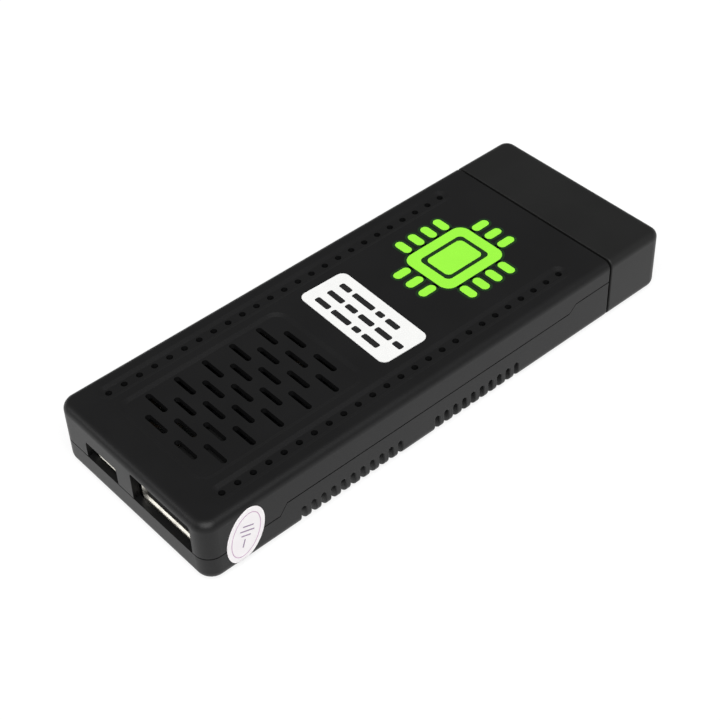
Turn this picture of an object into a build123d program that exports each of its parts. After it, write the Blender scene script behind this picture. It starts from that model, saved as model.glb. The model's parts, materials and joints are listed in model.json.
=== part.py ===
from build123d import *
import os

# HDMI stick computer: a slim plastic case split into a top and a bottom shell, with a
# plug under a pull-off cap at one end, two USB sockets at the other, and one circuit board.
# Frame: +X points to the capped plug, +Y to the card slot's side, +Z up.
# The origin is the middle of the box's footprint, at the face that the stick rests on.
# All lengths are millimetres.

# Case
stick_length = 93.8
stick_width = 35.2
stick_height = 11.6
cap_length = 11.9
seam_gap = 0.4
seam_edge_radius = 0.2
case_wall = 1.2
ports_corner_radius = 2.6
cap_corner_radius = 2.0
top_edge_radius = 1.4
bottom_edge_radius = 1.7

# Line where the two shells meet
parting_height = 6.4
ports_parting_height = 4.6
plug_parting_height = 7.65
ports_step_distance = 13.2
plug_step_distance = 9.1
step_run = 1.4
parting_gap = 0.2
lip_height = 0.8
lip_thickness = 0.5
lip_clearance = 0.1

# Two rows of round vents, each in a shallow track
dot_pitch = 2.8
dot_diameter = 1.08
first_dot_from_end = 6.65
last_dot_from_seam = 7.6
row_spacing = 27.0
track_margin = 1.06
track_depth = 0.25
sink_slope = 72
mouth_slope = 45

# Grille of long slots in a shallow panel
grille_columns = 11
grille_column_pitch = 2.61
grille_slot_length = 4.85
grille_slot_width = 1.0
grille_row_pitch = 7.0
grille_start_from_end = 7.97
panel_margin_ends = 2.1
panel_margin_sides = 1.2
panel_corner_radius = 2.5
panel_depth = 0.25

# Vents through the lower edge of the near side
vent_width = 0.85
vent_pitch = 1.875
vent_top_height = 3.5
vent_reach = 2.2
vent_edge_radius = 0.2
first_vents_from_end = 17.5
first_vent_count = 11
second_vents_from_end = 43.85
second_vent_count = 10
far_vent_count = 11

# Stickers
label_length = 20.5
label_width = 9.1
label_corner_radius = 1.3
label_from_end = 44.75
label_turn = -1.9
sticker_thickness = 0.1
seal_width = 6.4
seal_height = 9.8
seal_from_end = 7.04
seal_middle_height = 5.76
seal_turn = -20.0

# Circuit board
board_thickness = 1.0
board_top_height = 4.2
board_side_clearance = 0.7
board_end_clearance = 0.6
board_corner_radius = 1.0

# Screws and the posts that they enter
screw_diameter = 1.6
screw_head_diameter = 2.8
screw_head_height = 0.9
screw_length = 3.0
screw_recess_width = 0.5
screw_recess_length = 1.7
screw_hole_clearance = 0.2
screw_pilot_gap = 0.05
post_diameter = 4.2
post_hole_margin = 0.3
ports_screw_from_end = 18.2
plug_screw_from_seam = 5.15
screw_from_side = 4.3

# HDMI plug
plug_width = 13.9
plug_height = 4.45
plug_reach = 10.6
plug_tail = 8.6
plug_chamfer = 1.2
plug_metal = 0.3
plug_board_gap = 0.05
plug_hole_clearance = 0.2
plug_slot_width = 11.6
plug_slot_height = 1.9
plug_slot_depth = 7.5
plug_tip_recess = 0.4
hdmi_contact_count = 19
hdmi_contact_pitch = 1.0
hdmi_contact_width = 0.45
hdmi_contact_thickness = 0.2
hdmi_contact_length = 6.6
latch_window_length = 1.6
latch_window_width = 2.0
latch_window_spacing = 6.4
latch_window_from_tip = 4.2

# Grip inside the cap
grip_wall = 1.0
grip_clearance = 0.1
grip_setback = 1.2

# USB-A socket
usb_width = 13.1
usb_height = 5.7
usb_depth = 14.0
usb_metal = 0.5
usb_mouth_chamfer = 0.46
usb_recess = 1.4
usb_offset_share = 0.426
usb_opening_margin_sides = 0.4
usb_opening_margin_top = 0.1
port_opening_radius = 0.5
usb_corner_radius = 0.8
usb_tongue_width = 11.5
usb_tongue_thickness = 1.8
usb_tongue_setback = 0.4
usb_tongue_rise = 0.1
usb_tongue_tip_chamfer = 0.3
usb_base_depth = 4.4
usb_tape_thickness = 0.15
usb_tape_setback = 0.5
usb_tape_wrap = 1.5
usb_contact_count = 4
usb_contact_pitch = 2.5
usb_contact_width = 1.0
usb_contact_thickness = 0.2
usb_contact_length = 6.4

# Micro-USB socket
micro_width = 7.3
micro_height = 2.7
micro_depth = 5.6
micro_metal = 0.35
micro_mouth_chamfer = 0.3
micro_board_gap = 0.35
micro_recess = 1.3
micro_offset_share = 0.398
micro_corner_cut = 0.8
micro_opening_margin_sides = 0.2
micro_opening_margin_top = 0.55
micro_tongue_width = 4.0
micro_tongue_thickness = 0.6
micro_tongue_setback = 0.8
micro_base_depth = 1.6
micro_contact_count = 5
micro_contact_pitch = 0.65
micro_contact_width = 0.35
micro_contact_thickness = 0.1
micro_contact_length = 2.2

# Memory card socket
card_socket_width = 14.0
card_socket_depth = 13.6
card_socket_height = 1.5
card_socket_metal = 0.2
card_socket_from_seam = 23.0
card_socket_setback = 0.2
card_slot_width = 11.4
card_slot_height = 1.1
card_slot_floor = 0.25
card_base_thickness = 0.25
card_base_depth = 11.0
card_contact_count = 8
card_contact_pitch = 1.1
card_contact_width = 0.6
card_contact_thickness = 0.12
card_contact_length = 4.0

# Chips and small parts
chip_gap = 0.6
processor_side = 14.0
processor_thickness = 1.2
thermal_pad_side = 12.0
thermal_pad_thickness = 1.0
heat_spreader_length = 17.6
heat_spreader_width = 24.0
heat_spreader_thickness = 0.8
heat_spreader_fin_height = 1.6
heat_spreader_fin_width = 0.8
heat_spreader_fin_count = 7
memory_length = 11.0
memory_width = 7.0
memory_thickness = 1.0
memory_rows = 2
flash_length = 12.0
flash_width = 17.6
flash_thickness = 1.0
wifi_side = 11.0
wifi_board_thickness = 0.6
wifi_from_seam = 22.0
wifi_edge_gap = 0.3
wifi_can_inset = 0.8
wifi_can_height = 1.5
wifi_can_metal = 0.2
antenna_length = 8.0
antenna_width = 2.0
antenna_thickness = 1.2
antenna_from_seam = 11.3
antenna_edge_gap = 0.4
power_chip_side = 5.0
power_chip_thickness = 0.9
power_chip_from_seam = 12.6
power_chip_offset = 7.0
inductor_side = 4.0
inductor_height = 2.2
inductor_corner_radius = 0.8
inductor_from_seam = 12.6
inductor_side_shares = (0.06, 0.42, 0.78)
capacitor_length = 1.6
capacitor_width = 0.8
capacitor_height = 0.8
capacitor_columns = 6
capacitor_pitch = 2.4
crystal_length = 3.2
crystal_width = 2.4
crystal_height = 0.8
crystal_from_end = 12.0
crystal_offset = 6.0
led_length = 1.6
led_width = 0.8
led_height = 0.6
led_from_end = 12.0
led_offset = 1.6

# Recovery switch behind one of the near side's vents
vents_before_switch_count = 5
switch_length = 4.4
switch_depth = 3.0
switch_height = 1.4
switch_setback = 0.3
plunger_width = 0.9
plunger_height = 0.8
plunger_reach = 0.8
plunger_travel = 0.25
plunger_clearance = 0.05

# Overrun of every cutting tool past the face that it leaves
overrun = 1.0

# Planes and places that follow from the sizes above
ports_end = -stick_length / 2
cap_end = stick_length / 2
cap_start = cap_end - cap_length
seam = cap_start - seam_gap
half_width = stick_width / 2
inner_half_width = half_width - case_wall
inner_seam = seam - case_wall
row_offset = row_spacing / 2
dot_count = int((seam - ports_end - first_dot_from_end - last_dot_from_seam) / dot_pitch) + 1
board_start = ports_end + case_wall + board_end_clearance
board_end = inner_seam - board_end_clearance
board_half_width = inner_half_width - board_side_clearance
board_bottom_height = board_top_height - board_thickness
plug_base_height = board_top_height + plug_board_gap
plug_middle_height = plug_base_height + plug_height / 2
plug_tip = seam + plug_reach
plug_start = seam - plug_tail
usb_middle_height = board_top_height + usb_height / 2
usb_mouth = ports_end + usb_recess
usb_offset = usb_offset_share * half_width
micro_middle_height = board_top_height + micro_board_gap + micro_height / 2
micro_mouth = ports_end + micro_recess
micro_offset = micro_offset_share * half_width
card_middle = seam - card_socket_from_seam
card_mouth = board_half_width - card_socket_setback
card_base_height = board_top_height + card_base_thickness
processor_middle = usb_mouth + usb_depth + chip_gap + heat_spreader_length / 2

parts = {}


def block(x0, x1, y0, y1, z0, z1):
    """Rectangular solid between two corners."""
    middle = Pos((x0 + x1) / 2, (y0 + y1) / 2, (z0 + z1) / 2)
    return middle * Box(x1 - x0, y1 - y0, z1 - z0)


def slab(middle_x, middle_y, length, width, z0, z1):
    """Rectangular solid centred on a place, between two heights."""
    return block(
        middle_x - length / 2, middle_x + length / 2,
        middle_y - width / 2, middle_y + width / 2, z0, z1,
    )


def keep(name, *solids):
    """File a node's solids under its name."""
    parts[name] = [piece for solid in solids for piece in solid.solids()]


def edges_at(solid, axis, value):
    """Edges of a solid that lie wholly in one plane across an axis."""
    tolerance = overrun / 1000
    return solid.edges().filter_by_position(axis, value - tolerance, value + tolerance)


def stick_form(inset):
    """The whole stick's rounded outer form, drawn in by an inset all round."""
    form = block(
        ports_end + inset, cap_end - inset, -half_width + inset, half_width - inset,
        inset, stick_height - inset,
    )
    uprights = form.edges().filter_by(Axis.Z).sort_by(Axis.X)
    form = fillet(uprights[:2], ports_corner_radius - inset)
    uprights = form.edges().filter_by(Axis.Z).sort_by(Axis.X)
    form = fillet(uprights[-2:], cap_corner_radius - inset)
    least_radius = case_wall / 3
    form = fillet(edges_at(form, Axis.Z, stick_height - inset),
                  max(top_edge_radius - inset, least_radius))
    return fillet(edges_at(form, Axis.Z, inset), max(bottom_edge_radius - inset, least_radius))


def below_parting(rise):
    """Space under the stepped line where the shells meet, raised by a given amount."""
    ports_step = ports_end + ports_step_distance
    plug_step = seam - plug_step_distance
    outside_ports = ports_end - overrun
    outside_seam = seam + overrun
    outline = Polyline(
        (outside_ports, -overrun),
        (outside_ports, ports_parting_height + rise),
        (ports_step, ports_parting_height + rise),
        (ports_step + step_run, parting_height + rise),
        (plug_step, parting_height + rise),
        (plug_step + step_run, plug_parting_height + rise),
        (outside_seam, plug_parting_height + rise),
        (outside_seam, -overrun),
        close=True,
    )
    return extrude(Plane.XZ * make_face(outline), half_width + overrun, both=True)


def body_range(end):
    """Space from outside the ports end up to a plane across X."""
    return block(ports_end - overrun, end, -stick_width, stick_width,
                 -stick_height, 2 * stick_height)


def sunk_stadium(length, width, depth):
    """Stadium-shaped dish with sloping sides, to cut into the top face."""
    return extrude(
        Plane.XY.offset(stick_height) * SlotOverall(length, width), -depth, taper=sink_slope
    )


def port_openings():
    """Openings for the two sockets through the ports end's wall, over the lower shell."""
    usb_hole = Plane.YZ * Pos(-usb_offset, usb_middle_height) * RectangleRounded(
        usb_width + 2 * usb_opening_margin_sides,
        usb_height + 2 * usb_opening_margin_top, port_opening_radius,
    )
    micro_hole = Plane.YZ * Pos(micro_offset, micro_middle_height) * RectangleRounded(
        micro_width + 2 * micro_opening_margin_sides,
        micro_height + 2 * micro_opening_margin_top, port_opening_radius,
    )
    depth = case_wall + 2 * overrun
    start = Pos(ports_end - overrun, 0, 0)
    return [start * extrude(hole, depth) - below_parting(0) for hole in (usb_hole, micro_hole)]


def plug_outline(grow):
    """Section of the plug: a wide rectangle with its lower corners cut off."""
    half = plug_width / 2 + grow
    top = plug_height / 2 + grow
    cut = plug_chamfer
    return Polygon(
        (-half, top), (-half, -top + cut), (-half + cut, -top),
        (half - cut, -top), (half, -top + cut), (half, top), align=None,
    )


def micro_outline(grow):
    """Section of the micro-USB socket: its lower corners are cut off."""
    half = micro_width / 2 + grow
    top = micro_height / 2 + grow
    cut = micro_corner_cut
    return Polygon(
        (-half, top), (-half, -top + cut), (-half + cut, -top),
        (half - cut, -top), (half, -top + cut), (half, top), align=None,
    )


def plug_prism(grow, start, end):
    """Solid of the plug's section between two planes across X."""
    section = Plane.YZ * Pos(0, plug_middle_height) * plug_outline(grow)
    return Pos(start, 0, 0) * extrude(section, end - start)


def micro_prism(grow, start, end):
    """Solid of the micro-USB socket's section between two planes across X."""
    section = Plane.YZ * Pos(micro_offset, micro_middle_height) * micro_outline(grow)
    return Pos(start, 0, 0) * extrude(section, end - start)


def vent_places(first, count):
    """Middles of a group of side vents along X."""
    return [ports_end + first + number * vent_pitch for number in range(count)]


def side_vents():
    """Slots through the lower edges: two groups on the near side, one on the far side."""
    near = vent_places(first_vents_from_end, first_vent_count)
    near += vent_places(second_vents_from_end, second_vent_count)
    far = vent_places(first_vents_from_end, far_vent_count)
    tools = []
    for places, side in ((near, -1), (far, 1)):
        for place in places:
            tall = vent_top_height + overrun
            slot = Pos(place, vent_top_height - tall / 2) * SlotOverall(
                tall + vent_width, vent_width, rotation=90)
            tool = extrude(Plane.XZ * slot, vent_reach + overrun, both=True)
            edge = side * (half_width + overrun)
            tools.append(Pos(0, edge, -vent_width / 2) * tool)
    return tools


def cut_vents(shell):
    """Cut the side vents into the lower half and round their mouths on the outer skin."""
    vented = shell - side_vents()
    core = stick_form(overrun / 100)
    mouths = [edge for edge in new_edges(shell, combined=vented)
              if not core.is_inside(edge.position_at(0.5))]
    return fillet(mouths, vent_edge_radius)


def dot_holes():
    """Round vents of both rows."""
    holes = []
    for side in (-1, 1):
        for number in range(dot_count):
            place = Pos(ports_end + first_dot_from_end + number * dot_pitch,
                        side * row_offset, stick_height)
            holes.append(place * Cylinder(dot_diameter / 2, 2 * (case_wall + overrun)))
    return holes


def grille_slots():
    """Long slots of the grille: two and three to a column by turns."""
    tools = []
    for column in range(grille_columns):
        steps = (-0.5, 0.5) if column % 2 == 0 else (-1, 0, 1)
        x = ports_end + grille_start_from_end + column * grille_column_pitch
        for step in steps:
            slot = Pos(x, step * grille_row_pitch) * SlotOverall(
                grille_slot_length, grille_slot_width, rotation=90)
            tools.append(extrude(Plane.XY.offset(stick_height) * slot,
                                 case_wall + overrun, both=True))
    return tools


def sunk_panel():
    """Shallow rounded panel around the grille."""
    run = (grille_columns - 1) * grille_column_pitch
    length = run + grille_slot_width + 2 * panel_margin_ends
    width = 2 * grille_row_pitch + grille_slot_length + 2 * panel_margin_sides
    middle = ports_end + grille_start_from_end + run / 2
    sketch = Pos(middle, 0) * RectangleRounded(length, width, panel_corner_radius)
    return extrude(Plane.XY.offset(stick_height) * sketch, -panel_depth, taper=sink_slope)


def sunk_tracks():
    """Shallow tracks around the two rows of round vents."""
    run = (dot_count - 1) * dot_pitch
    width = dot_diameter + 2 * track_margin
    middle = ports_end + first_dot_from_end + run / 2
    dish = sunk_stadium(run + width, width, track_depth)
    return [Pos(middle, side * row_offset, 0) * dish for side in (-1, 1)]


def screw_places():
    """Middles of the four board screws."""
    side = half_width - screw_from_side
    ends = (ports_end + ports_screw_from_end, seam - plug_screw_from_seam)
    return [(x, y) for x in ends for y in (-side, side)]


def card_opening():
    """Slot for the memory card through the far side's wall."""
    height = card_base_height + card_slot_floor / 2
    return block(
        card_middle - card_slot_width / 2, card_middle + card_slot_width / 2,
        card_mouth, half_width + overrun, height, height + card_slot_height,
    )


def build_shells():
    """Top and bottom shells, which meet on a stepped line with a lip inside."""
    outer = stick_form(0) & body_range(seam)
    outer = fillet(edges_at(outer, Axis.X, seam), seam_edge_radius)
    cavity = stick_form(case_wall) & body_range(inner_seam)
    lip_outer = stick_form(case_wall - lip_thickness) & body_range(
        inner_seam + lip_thickness)
    rebate = stick_form(case_wall - lip_thickness - lip_clearance) & body_range(
        inner_seam + lip_thickness + lip_clearance)
    plug_hole = plug_prism(plug_hole_clearance, inner_seam - overrun, seam + overrun)
    openings = port_openings() + [plug_hole, card_opening()]

    bottom = (outer - cavity) & below_parting(0)
    bottom += (lip_outer - cavity) & below_parting(lip_height)
    bottom = cut_vents(bottom)
    for x, y in screw_places():
        post_top = board_bottom_height
        post = Pos(x, y, (post_top + case_wall / 2) / 2) * Cylinder(
            post_diameter / 2, post_top - case_wall / 2)
        bottom += post
    for x, y in screw_places():
        hole_bottom = board_top_height - screw_length - post_hole_margin
        depth = board_bottom_height - hole_bottom + overrun
        bottom -= Pos(x, y, hole_bottom + depth / 2) * Cylinder(
            screw_diameter / 2 + screw_pilot_gap, depth)
    bottom = bottom - openings

    top = (outer - cavity) - below_parting(parting_gap)
    top = top - (rebate & below_parting(lip_height + lip_clearance))
    top = top - openings - sunk_panel() - sunk_tracks() - dot_holes() - grille_slots()
    keep("top_shell", top)
    keep("bottom_shell", bottom)


def build_cap():
    """Pull-off cap with a grip around the plug."""
    whole = stick_form(0) - body_range(cap_start)
    whole = fillet(edges_at(whole, Axis.X, cap_start), seam_edge_radius)
    hollow = stick_form(case_wall) & block(
        cap_start - overrun, cap_end, -stick_width, stick_width, 0, stick_height)
    grip = plug_prism(grip_clearance + grip_wall, cap_start + grip_setback,
                      cap_end - case_wall / 2)
    bore = plug_prism(grip_clearance, cap_start - overrun, cap_end - case_wall)
    keep("plug_cap", whole - hollow + grip - bore)


def build_stickers():
    """Label on the top face and the oval seal over the near side's join."""
    sketch = RectangleRounded(label_width, label_length, label_corner_radius)
    place = Pos(ports_end + label_from_end, 0, stick_height) * Rot(0, 0, label_turn)
    keep("label_sticker", place * extrude(sketch, sticker_thickness))

    skin = stick_form(-sticker_thickness) - stick_form(0)
    oval = Plane.XZ * Pos(ports_end + seal_from_end, seal_middle_height) * Ellipse(
        seal_width / 2, seal_height / 2, rotation=seal_turn)
    near_side = extrude(oval, half_width + overrun)
    keep("seal_sticker", skin & near_side)


def build_board():
    """Circuit board with its screws."""
    board = block(board_start, board_end, -board_half_width, board_half_width,
                  board_bottom_height, board_top_height)
    board = fillet(board.edges().filter_by(Axis.Z), board_corner_radius)
    for x, y in screw_places():
        board -= Pos(x, y, board_top_height) * Cylinder(
            screw_diameter / 2 + screw_hole_clearance, 2 * (board_thickness + overrun))
    keep("main_pcb", board)

    head_middle = board_top_height + screw_head_height / 2
    recess = Box(screw_recess_length, screw_recess_width, screw_head_height)
    recess += Box(screw_recess_width, screw_recess_length, screw_head_height)
    screws = []
    for x, y in screw_places():
        screw = Pos(x, y, head_middle) * Cylinder(screw_head_diameter / 2, screw_head_height)
        screw += Pos(x, y, board_top_height - screw_length / 2) * Cylinder(
            screw_diameter / 2, screw_length)
        screws.append(screw - Pos(x, y, board_top_height + screw_head_height) * recess)
    keep("pcb_screws", *screws)


def build_plug():
    """HDMI plug: metal shell, plastic insert and two rows of contacts."""
    shell = plug_prism(0, plug_start, plug_tip)
    shell -= plug_prism(-plug_metal, plug_start - overrun, plug_tip + overrun)
    window_x = plug_tip - latch_window_from_tip
    for side in (-1, 1):
        shell -= Pos(window_x, side * latch_window_spacing / 2,
                     plug_base_height + plug_height) * Box(
            latch_window_length, latch_window_width, 4 * plug_metal)
    keep("hdmi_plug_shell", shell)

    insert_tip = plug_tip - plug_tip_recess
    insert = plug_prism(-plug_metal, plug_start + plug_metal, insert_tip)
    slot_start = insert_tip - plug_slot_depth
    half_slot = plug_slot_height / 2
    insert -= block(slot_start, plug_tip, -plug_slot_width / 2, plug_slot_width / 2,
                    plug_middle_height - half_slot, plug_middle_height + half_slot)
    keep("hdmi_plug_insert", insert)

    contacts = []
    upper_count = (hdmi_contact_count + 1) // 2
    for number in range(hdmi_contact_count):
        upper = number < upper_count
        row_count = upper_count if upper else hdmi_contact_count - upper_count
        index = number if upper else number - upper_count
        y = (index - (row_count - 1) / 2) * hdmi_contact_pitch
        inner = half_slot - hdmi_contact_thickness
        low, high = (inner, half_slot) if upper else (-half_slot, -inner)
        contacts.append(slab(
            slot_start + hdmi_contact_length / 2, y, hdmi_contact_length,
            hdmi_contact_width, plug_middle_height + low, plug_middle_height + high,
        ))
    keep("hdmi_plug_contacts", *contacts)


def build_usb_a():
    """USB-A socket: metal shell, plastic tongue and four contacts."""
    back = usb_mouth + usb_depth
    half = usb_width / 2
    top = board_top_height + usb_height
    shell = block(usb_mouth, back, -usb_offset - half, -usb_offset + half,
                  board_top_height, top)
    shell = fillet(shell.edges().filter_by(Axis.X), usb_corner_radius)
    tape_top = top + usb_tape_thickness
    tape = block(
        usb_mouth + usb_tape_setback, back, -usb_offset - half - usb_tape_thickness,
        -usb_offset + half + usb_tape_thickness, top - usb_tape_wrap, tape_top,
    )
    tape = fillet(edges_at(tape, Axis.Z, tape_top).filter_by(Axis.X),
                  usb_corner_radius + usb_tape_thickness)
    keep("usb_a_tape", tape - shell)

    inside = block(
        usb_mouth - overrun, back - usb_metal, -usb_offset - half + usb_metal,
        -usb_offset + half - usb_metal, board_top_height + usb_metal, top - usb_metal,
    )
    inside = fillet(inside.edges().filter_by(Axis.X), usb_corner_radius - usb_metal)
    mouth = Plane.YZ * Pos(-usb_offset, usb_middle_height) * RectangleRounded(
        usb_width - 2 * (usb_metal - usb_mouth_chamfer),
        usb_height - 2 * (usb_metal - usb_mouth_chamfer),
        usb_corner_radius - usb_metal + usb_mouth_chamfer,
    )
    flare = Pos(usb_mouth, 0, 0) * extrude(mouth, usb_mouth_chamfer, taper=mouth_slope)
    keep("usb_a_shell", shell - inside - flare)

    base_start = back - usb_metal - usb_base_depth
    tongue_bottom = board_top_height + usb_metal + usb_tongue_rise
    tongue_top = tongue_bottom + usb_tongue_thickness
    tongue_tip = usb_mouth + usb_tongue_setback
    base = block(
        base_start, back - usb_metal, -usb_offset - half + usb_metal,
        -usb_offset + half - usb_metal, board_top_height + usb_metal, top - usb_metal,
    )
    base = fillet(base.edges().filter_by(Axis.X), usb_corner_radius - usb_metal)
    tongue = slab((tongue_tip + base_start) / 2, -usb_offset, base_start - tongue_tip,
                  usb_tongue_width, tongue_bottom, tongue_top)
    tongue = chamfer(edges_at(tongue, Axis.X, tongue_tip).filter_by(Axis.Y),
                     usb_tongue_tip_chamfer)
    keep("usb_a_tongue", base + tongue)

    contacts = []
    for number in range(usb_contact_count):
        y = -usb_offset + (number - (usb_contact_count - 1) / 2) * usb_contact_pitch
        contacts.append(slab(
            base_start - usb_contact_length / 2, y, usb_contact_length, usb_contact_width,
            tongue_top, tongue_top + usb_contact_thickness,
        ))
    keep("usb_a_contacts", *contacts)


def build_micro_usb():
    """Micro-USB socket: metal shell, plastic tongue and five contacts."""
    back = micro_mouth + micro_depth
    shell = micro_prism(0, micro_mouth, back)
    shell -= micro_prism(-micro_metal, micro_mouth - overrun, back - micro_metal)
    mouth = Plane.YZ * Pos(micro_offset, micro_middle_height) * micro_outline(
        micro_mouth_chamfer - micro_metal)
    flare = extrude(mouth, micro_mouth_chamfer, taper=mouth_slope)
    keep("micro_usb_shell", shell - Pos(micro_mouth, 0, 0) * flare)

    base_start = back - micro_metal - micro_base_depth
    tip = micro_mouth + micro_tongue_setback
    half = micro_tongue_thickness / 2
    tongue = slab((tip + base_start) / 2, micro_offset, base_start - tip,
                  micro_tongue_width, micro_middle_height - half,
                  micro_middle_height + half)
    base = micro_prism(-micro_metal, base_start, back - micro_metal)
    keep("micro_usb_tongue", base + tongue)

    contacts = []
    for number in range(micro_contact_count):
        y = micro_offset + (number - (micro_contact_count - 1) / 2) * micro_contact_pitch
        low = micro_middle_height - half - micro_contact_thickness
        contacts.append(slab(
            base_start - micro_contact_length / 2, y, micro_contact_length,
            micro_contact_width, low, micro_middle_height - half,
        ))
    keep("micro_usb_contacts", *contacts)


def build_card_socket():
    """Memory card socket: base with contacts under a sheet-metal cover."""
    half = card_socket_width / 2
    back = card_mouth - card_socket_depth
    top = board_top_height + card_socket_height
    cover = block(card_middle - half, card_middle + half, back, card_mouth,
                  board_top_height, top)
    cover -= block(
        card_middle - half + card_socket_metal, card_middle + half - card_socket_metal,
        back + card_socket_metal, card_mouth + overrun,
        board_top_height - overrun, top - card_socket_metal,
    )
    keep("card_socket_shell", cover)

    base_width = card_socket_width - 4 * card_socket_metal
    base_back = back + 2 * card_socket_metal
    base = slab(card_middle, base_back + card_base_depth / 2, base_width, card_base_depth,
                board_top_height, card_base_height)
    keep("card_socket_base", base)

    contacts = []
    for number in range(card_contact_count):
        x = card_middle + (number - (card_contact_count - 1) / 2) * card_contact_pitch
        contacts.append(slab(
            x, base_back + card_base_depth / 2, card_contact_width, card_contact_length,
            card_base_height, card_base_height + card_contact_thickness,
        ))
    keep("card_socket_contacts", *contacts)


def chip(x, y, length, width, thickness):
    """Plain chip on the board's top face."""
    return slab(x, y, length, width, board_top_height, board_top_height + thickness)


def chip_under(x, y, length, width, thickness):
    """Plain chip on the board's underside."""
    return slab(x, y, length, width, board_bottom_height - thickness, board_bottom_height)


def build_processor():
    """Processor with its thermal pad and finned heat spreader."""
    keep("processor", chip(processor_middle, 0, processor_side, processor_side,
                           processor_thickness))
    pad_base = board_top_height + processor_thickness
    pad_top = pad_base + thermal_pad_thickness
    keep("thermal_pad", slab(processor_middle, 0, thermal_pad_side, thermal_pad_side,
                             pad_base, pad_top))
    plate_top = pad_top + heat_spreader_thickness
    spreader = slab(processor_middle, 0, heat_spreader_length, heat_spreader_width,
                    pad_top, plate_top)
    spread = heat_spreader_width - heat_spreader_fin_width
    for number in range(heat_spreader_fin_count):
        y = spread * (number / (heat_spreader_fin_count - 1)) - spread / 2
        spreader += slab(processor_middle, y, heat_spreader_length,
                         heat_spreader_fin_width, plate_top,
                         plate_top + heat_spreader_fin_height)
    keep("heat_spreader", spreader)


def build_memories():
    """Memory chips in a grid on the board's underside, and the flash chip beyond them."""
    first = ports_end + ports_screw_from_end + post_diameter / 2 + chip_gap
    memories = []
    for row in range(memory_rows):
        x = first + memory_width / 2 + row * (memory_width + chip_gap)
        for side in (-1, 1):
            y = side * (memory_length + chip_gap) / 2
            memories.append(chip_under(x, y, memory_width, memory_length, memory_thickness))
    keep("memory_chips", *memories)
    keep("flash_chip", chip_under(card_middle, 0, flash_length, flash_width,
                                  flash_thickness))


def build_radio():
    """WiFi module with its shield can, and the antenna at the board's edge."""
    wifi_x = seam - wifi_from_seam
    wifi_y = -board_half_width + wifi_edge_gap + wifi_side / 2
    keep("wifi_module", chip(wifi_x, wifi_y, wifi_side, wifi_side, wifi_board_thickness))
    can_base = board_top_height + wifi_board_thickness
    can_side = wifi_side - 2 * wifi_can_inset
    can = slab(wifi_x, wifi_y, can_side, can_side, can_base, can_base + wifi_can_height)
    room_side = can_side - 2 * wifi_can_metal
    can -= slab(wifi_x, wifi_y, room_side, room_side, can_base - overrun,
                can_base + wifi_can_height - wifi_can_metal)
    keep("wifi_shield_can", can)
    antenna_y = -board_half_width + antenna_edge_gap + antenna_width / 2
    keep("antenna", chip(seam - antenna_from_seam, antenna_y,
                         antenna_length, antenna_width, antenna_thickness))


def build_power():
    """Power chip and its coils beside the plug."""
    keep("power_chip", chip(seam - power_chip_from_seam, -power_chip_offset,
                            power_chip_side, power_chip_side, power_chip_thickness))
    coils = []
    for share in inductor_side_shares:
        coil = chip(seam - inductor_from_seam, share * board_half_width, inductor_side,
                    inductor_side, inductor_height)
        coils.append(fillet(coil.edges().filter_by(Axis.Z), inductor_corner_radius))
    keep("inductors", *coils)


def build_small_parts():
    """Capacitors beside the processor, the crystal and the status light."""
    capacitors = []
    capacitor_offset = processor_side / 2 + chip_gap + capacitor_width / 2
    for column in range(capacitor_columns):
        x = processor_middle + (column - (capacitor_columns - 1) / 2) * capacitor_pitch
        for side in (-1, 1):
            capacitors.append(chip(x, side * capacitor_offset, capacitor_length,
                                   capacitor_width, capacitor_height))
    keep("capacitors", *capacitors)
    keep("crystal", chip(ports_end + crystal_from_end, crystal_offset,
                         crystal_width, crystal_length, crystal_height))
    keep("status_led", chip(ports_end + led_from_end, led_offset,
                            led_width, led_length, led_height))


def build_switch():
    """Recovery switch under the board's near edge, pressed through a vent."""
    x = vent_places(second_vents_from_end, second_vent_count)[vents_before_switch_count]
    front = -board_half_width + switch_setback
    middle_y = front + switch_depth / 2
    body = chip_under(x, middle_y, switch_length, switch_depth, switch_height)
    middle_z = board_bottom_height - switch_height / 2
    inner_end = front + plunger_reach + plunger_travel
    body -= block(
        x - plunger_width / 2 - plunger_clearance, x + plunger_width / 2 + plunger_clearance,
        front - overrun, inner_end + plunger_clearance,
        middle_z - plunger_height / 2 - plunger_clearance,
        middle_z + plunger_height / 2 + plunger_clearance,
    )
    keep("recovery_switch_body", body)
    plunger = slab(x, front, plunger_width, 2 * plunger_reach,
                   middle_z - plunger_height / 2, middle_z + plunger_height / 2)
    keep("recovery_switch_plunger", plunger)


build_shells()
build_cap()
build_stickers()
build_board()
build_plug()
build_usb_a()
build_micro_usb()
build_card_socket()
build_processor()
build_memories()
build_radio()
build_power()
build_small_parts()
build_switch()

os.makedirs("parts", exist_ok=True)
for name, solids in parts.items():
    export_step(Compound(solids), f"parts/{name}.step")
    print(name, len(solids), "solids")
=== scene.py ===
"""Stick computer on a pale studio floor: finishes, printed pieces, light and camera."""

from __future__ import annotations

import json
import logging
import math
from collections.abc import Callable, Iterable
from dataclasses import dataclass, field
from enum import Enum
from typing import Any, ClassVar

import bmesh
import bpy
from mathutils import Matrix, Vector

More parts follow.
